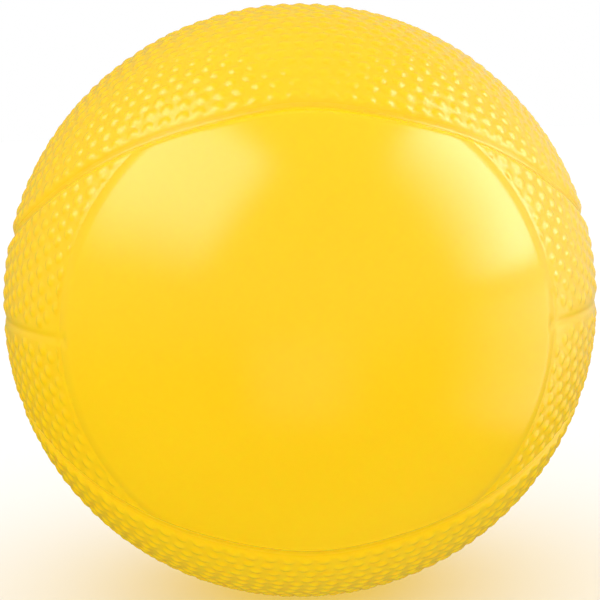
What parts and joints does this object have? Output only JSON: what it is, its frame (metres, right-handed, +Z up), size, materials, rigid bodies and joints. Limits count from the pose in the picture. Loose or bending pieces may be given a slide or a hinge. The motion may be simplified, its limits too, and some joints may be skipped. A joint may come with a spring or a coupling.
{
  "type": "squeeze ball",
  "caption": "Hollow soft-vinyl squeeze ball with miniature-basketball channels and pebble grain, a smooth round imprint panel in front and a needle valve at the back.",
  "frame": {"origin": "centre of the ball", "axes": "+Z up, square to the level channel; -Y through the middle of the smooth imprint panel; +Y along the valve's axis, out of the ball; +X to the right seen from the front"},
  "size_m": [0.1, 0.0997, 0.1],
  "materials": {
    "vinyl_skin": "high gloss on the imprint panel, glossy pebble grain elsewhere",
    "valve_plastic": "satin",
    "valve_rubber": "matt"
  },
  "bodies": {
    "rear": {"rear_skin": "vinyl_skin", "valve_housing": "valve_plastic", "valve_core": "valve_rubber"},
    "front": {"front_skin": "vinyl_skin"}
  },
  "joints": [
    {"name": "squeeze", "type": "slide", "parent": "rear", "child": "front", "axis": [0, 1, 0], "range_m": [0, 0.03], "stiffness_N_per_m": 2500, "deforming": ["front_skin", "rear_skin"]}
  ]
}
